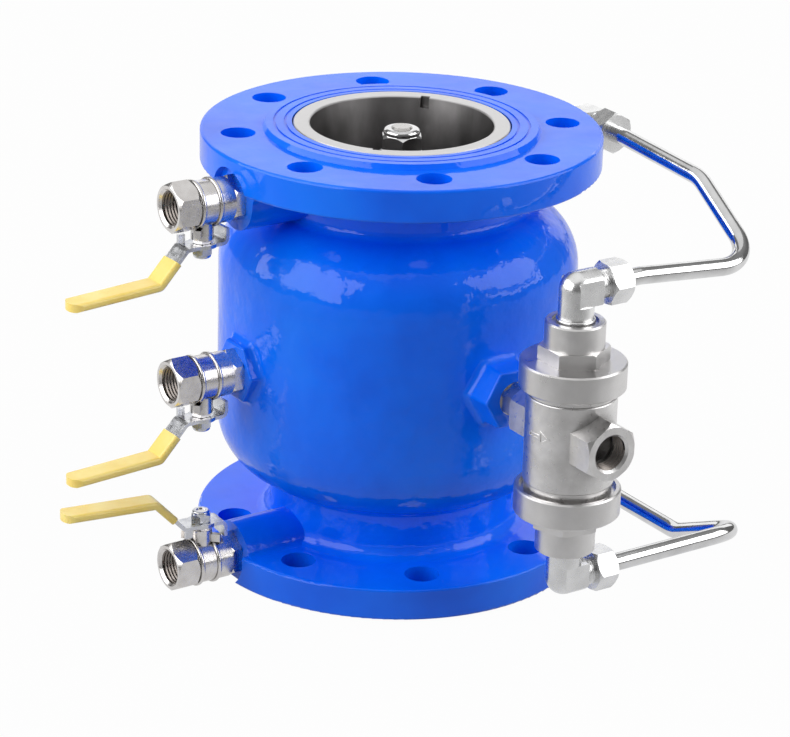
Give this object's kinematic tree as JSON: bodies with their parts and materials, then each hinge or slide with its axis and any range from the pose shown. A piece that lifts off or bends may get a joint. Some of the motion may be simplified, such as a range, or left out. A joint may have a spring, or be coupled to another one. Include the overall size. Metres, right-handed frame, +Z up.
{
  "type": "reduced pressure backflow preventer",
  "caption": "Upright flanged backflow preventer with two check valves inside, a relief valve on pilot tubes and test cocks with lever handles.",
  "frame": {"origin": "middle of the outlet flange face, on the flow axis", "axes": "+Z up the flow axis to the inlet flange, -X out of the test cocks, -Y toward the relief valve"},
  "size_m": [0.3427, 0.3105, 0.25],
  "materials": {
    "blue_enamel": "thick glossy enamel",
    "turned_stainless": "turned satin",
    "cast_stainless": "investment cast, satin",
    "seal_rubber": "matte",
    "spring_wire": "drawn wire",
    "zinc_steel": "bright zinc",
    "bright_fittings": "polished",
    "nickel_brass": "nickel plated, fine blasted",
    "polished_ball": "polished",
    "white_ptfe": "waxy",
    "yellow_vinyl": "dipped vinyl"
  },
  "bodies": {
    "valve": {"inlet_seat_ring": "turned_stainless", "inlet_spring": "spring_wire", "lower_pilot_elbow": "bright_fittings", "lower_pilot_tube": "bright_fittings", "outlet_seat_ring": "turned_stainless", "outlet_spring": "spring_wire", "relief_body": "cast_stainless", "relief_bottom_cap": "cast_stainless", "relief_bottom_elbow": "bright_fittings", "relief_nipple": "turned_stainless", "relief_spring": "spring_wire", "relief_top_cap": "cast_stainless", "relief_top_elbow": "bright_fittings", "test_cock_1_gland": "nickel_brass", "test_cock_1_packing": "white_ptfe", "test_cock_1_seats": "white_ptfe", "test_cock_1_shell": "nickel_brass", "test_cock_1_tail": "nickel_brass", "test_cock_2_gland": "nickel_brass", "test_cock_2_packing": "white_ptfe", "test_cock_2_seats": "white_ptfe", "test_cock_2_shell": "nickel_brass", "test_cock_2_tail": "nickel_brass", "test_cock_3_gland": "nickel_brass", "test_cock_3_packing": "white_ptfe", "test_cock_3_seats": "white_ptfe", "test_cock_3_shell": "nickel_brass", "test_cock_3_tail": "nickel_brass", "tube_ferrules": "bright_fittings", "tube_nuts": "bright_fittings", "upper_pilot_elbow": "bright_fittings", "upper_pilot_tube": "bright_fittings", "valve_casting": "blue_enamel"},
    "inlet_check": {"inlet_poppet": "turned_stainless", "inlet_disc_seal": "seal_rubber", "inlet_spring_plate": "zinc_steel", "inlet_lock_nut": "zinc_steel"},
    "outlet_check": {"outlet_poppet": "turned_stainless", "outlet_disc_seal": "seal_rubber", "outlet_spring_plate": "zinc_steel", "outlet_lock_nut": "zinc_steel"},
    "relief_slider": {"relief_spool": "turned_stainless", "relief_spool_rings": "seal_rubber"},
    "cock_1_key": {"test_cock_1_ball": "polished_ball", "test_cock_1_spindle": "nickel_brass", "test_cock_1_lever": "zinc_steel", "test_cock_1_grip": "yellow_vinyl", "test_cock_1_lever_nut": "zinc_steel"},
    "cock_2_key": {"test_cock_2_ball": "polished_ball", "test_cock_2_spindle": "nickel_brass", "test_cock_2_lever": "zinc_steel", "test_cock_2_grip": "yellow_vinyl", "test_cock_2_lever_nut": "zinc_steel"},
    "cock_3_key": {"test_cock_3_ball": "polished_ball", "test_cock_3_spindle": "nickel_brass", "test_cock_3_lever": "zinc_steel", "test_cock_3_grip": "yellow_vinyl", "test_cock_3_lever_nut": "zinc_steel"}
  },
  "joints": [
    {"name": "inlet_check_lift", "type": "slide", "parent": "valve", "child": "inlet_check", "axis": [0, 0, -1], "range_m": [0, 0.014], "stiffness_N_per_m": 1500, "springref_m": -0.025, "deforming": ["inlet_spring"]},
    {"name": "outlet_check_lift", "type": "slide", "parent": "valve", "child": "outlet_check", "axis": [0, 0, -1], "range_m": [0, 0.014], "stiffness_N_per_m": 1500, "springref_m": -0.025, "deforming": ["outlet_spring"]},
    {"name": "relief_lift", "type": "slide", "parent": "valve", "child": "relief_slider", "axis": [0, 0, 1], "range_m": [0, 0.013], "stiffness_N_per_m": 600, "springref_m": -0.02, "deforming": ["relief_spring"]},
    {"name": "cock_1_turn", "type": "hinge", "parent": "valve", "child": "cock_1_key", "pos_m": [-0.125, 0, 0.224], "axis": [0, 0, -1], "range_deg": [0, 90]},
    {"name": "cock_2_turn", "type": "hinge", "parent": "valve", "child": "cock_2_key", "pos_m": [-0.125, 0, 0.125], "axis": [0, 0, -1], "range_deg": [0, 90]},
    {"name": "cock_3_turn", "type": "hinge", "parent": "valve", "child": "cock_3_key", "pos_m": [-0.125, 0, 0.017], "axis": [0, 0, 1], "range_deg": [0, 90]}
  ]
}
